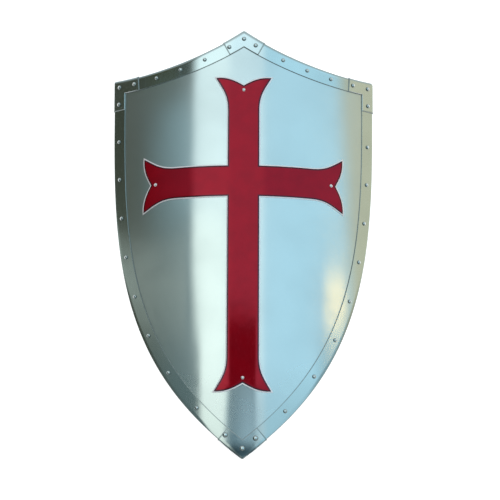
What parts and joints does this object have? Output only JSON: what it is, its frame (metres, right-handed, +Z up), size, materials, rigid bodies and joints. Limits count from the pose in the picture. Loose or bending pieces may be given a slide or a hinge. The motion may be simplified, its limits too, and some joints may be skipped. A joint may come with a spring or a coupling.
{
  "type": "metal heater shield",
  "caption": "Rolled sheet-steel heater shield with a riveted, folded border, corner brackets and an applied red cross, lying face up on the rims of its sides.",
  "frame": {"origin": "on the surface that the shield lies on, under the middle of its outer box", "axes": "+X across the shield to its right as seen from the front, +Y from the tip towards the peak, +Z up, out of the face"},
  "size_m": [0.4702, 0.763, 0.0978],
  "materials": {
    "plate_steel": "polished to satin",
    "border_steel": "satin",
    "bracket_steel": "satin",
    "rivet_steel": "polished",
    "red_enamel": "gloss enamel on sheet steel"
  },
  "bodies": {
    "root": {"shield_plate": "plate_steel", "border_top_left": "border_steel", "border_top_right": "border_steel", "border_side_left": "border_steel", "border_side_right": "border_steel", "bracket_peak": "bracket_steel", "bracket_left_corner": "bracket_steel", "bracket_right_corner": "bracket_steel", "bracket_tip": "bracket_steel", "cross": "red_enamel", "rivet_peak_left": "rivet_steel", "rivet_peak_middle": "rivet_steel", "rivet_peak_right": "rivet_steel", "rivet_left_corner_top": "rivet_steel", "rivet_left_corner_middle": "rivet_steel", "rivet_left_corner_side": "rivet_steel", "rivet_right_corner_top": "rivet_steel", "rivet_right_corner_middle": "rivet_steel", "rivet_right_corner_side": "rivet_steel", "rivet_tip_left": "rivet_steel", "rivet_tip_middle": "rivet_steel", "rivet_tip_right": "rivet_steel", "rivet_top_left_1": "rivet_steel", "rivet_top_left_2": "rivet_steel", "rivet_top_left_3": "rivet_steel", "rivet_top_right_1": "rivet_steel", "rivet_top_right_2": "rivet_steel", "rivet_top_right_3": "rivet_steel", "rivet_side_left_1": "rivet_steel", "rivet_side_left_2": "rivet_steel", "rivet_side_left_3": "rivet_steel", "rivet_side_left_4": "rivet_steel", "rivet_side_left_5": "rivet_steel", "rivet_side_left_6": "rivet_steel", "rivet_side_left_7": "rivet_steel", "rivet_side_left_8": "rivet_steel", "rivet_side_right_1": "rivet_steel", "rivet_side_right_2": "rivet_steel", "rivet_side_right_3": "rivet_steel", "rivet_side_right_4": "rivet_steel", "rivet_side_right_5": "rivet_steel", "rivet_side_right_6": "rivet_steel", "rivet_side_right_7": "rivet_steel", "rivet_side_right_8": "rivet_steel", "rivet_cross_top": "rivet_steel", "rivet_cross_right": "rivet_steel", "rivet_cross_foot": "rivet_steel", "rivet_cross_left": "rivet_steel"}
  },
  "joints": []
}
